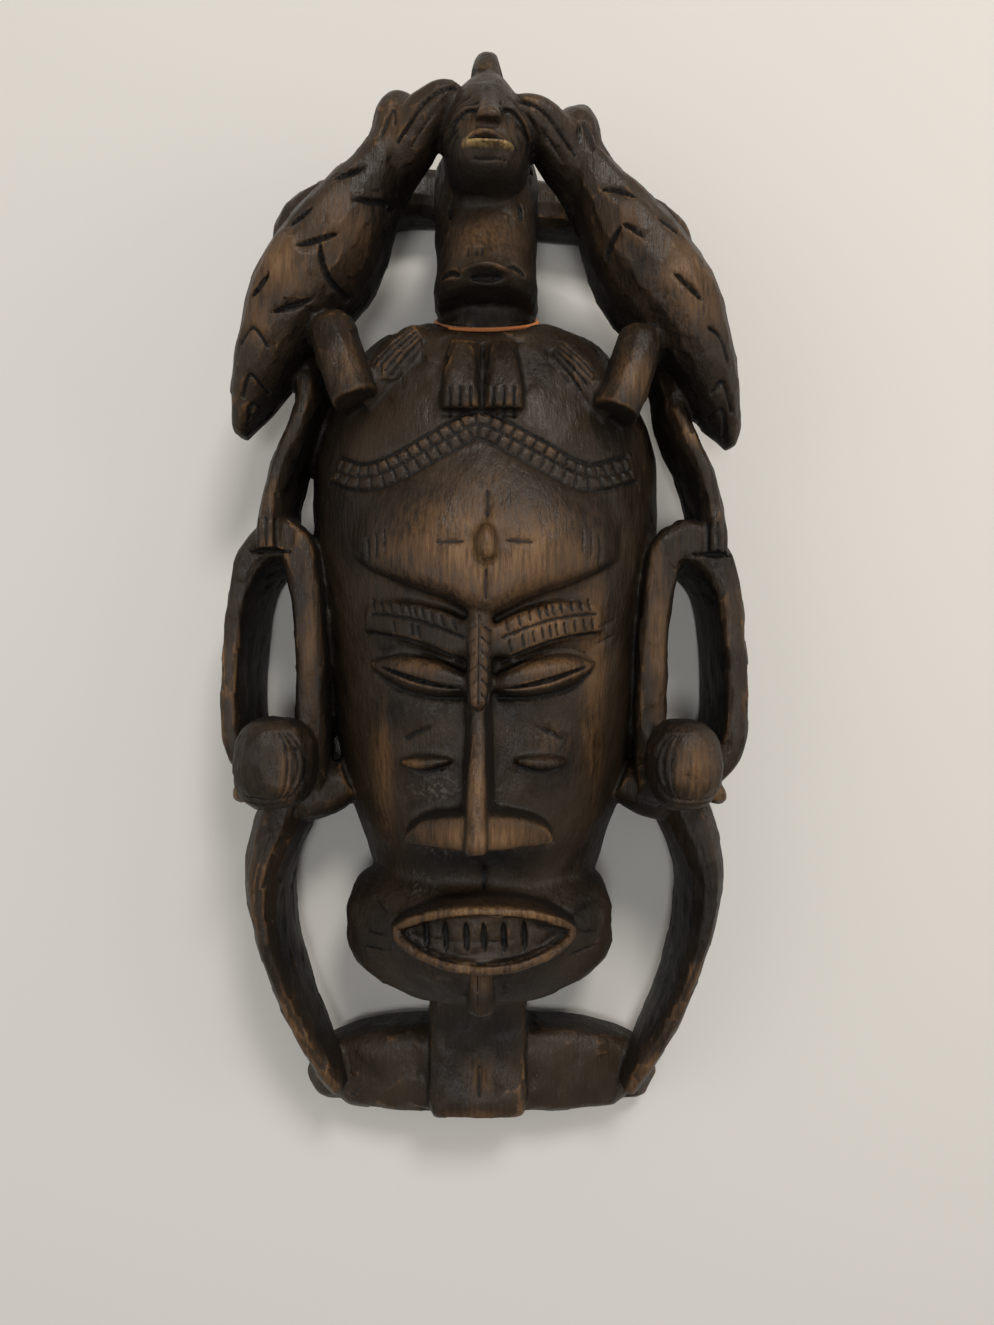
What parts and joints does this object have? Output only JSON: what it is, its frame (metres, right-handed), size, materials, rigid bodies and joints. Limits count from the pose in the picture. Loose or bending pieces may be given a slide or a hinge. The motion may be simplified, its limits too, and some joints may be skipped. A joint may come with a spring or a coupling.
{
  "type": "carved wooden mask",
  "caption": "Openwork carved wooden wall mask with long-beaked birds above, looped side limbs and a curved foot.",
  "frame": {"origin": "middle of the mask's outline on its flat back, where it lies on the floor", "axes": "+Z out of the face, +Y towards the topknot, +X to the right as one looks at the face"},
  "size_m": [0.2482, 0.4986, 0.124],
  "materials": {
    "carved_wood": "dark stained and waxed, satin, worn to warm brown on the high places",
    "orange_thread": "twisted cotton thread, matte"
  },
  "bodies": {
    "root": {"carved_mask": "carved_wood", "neck_thread": "orange_thread"}
  },
  "joints": []
}
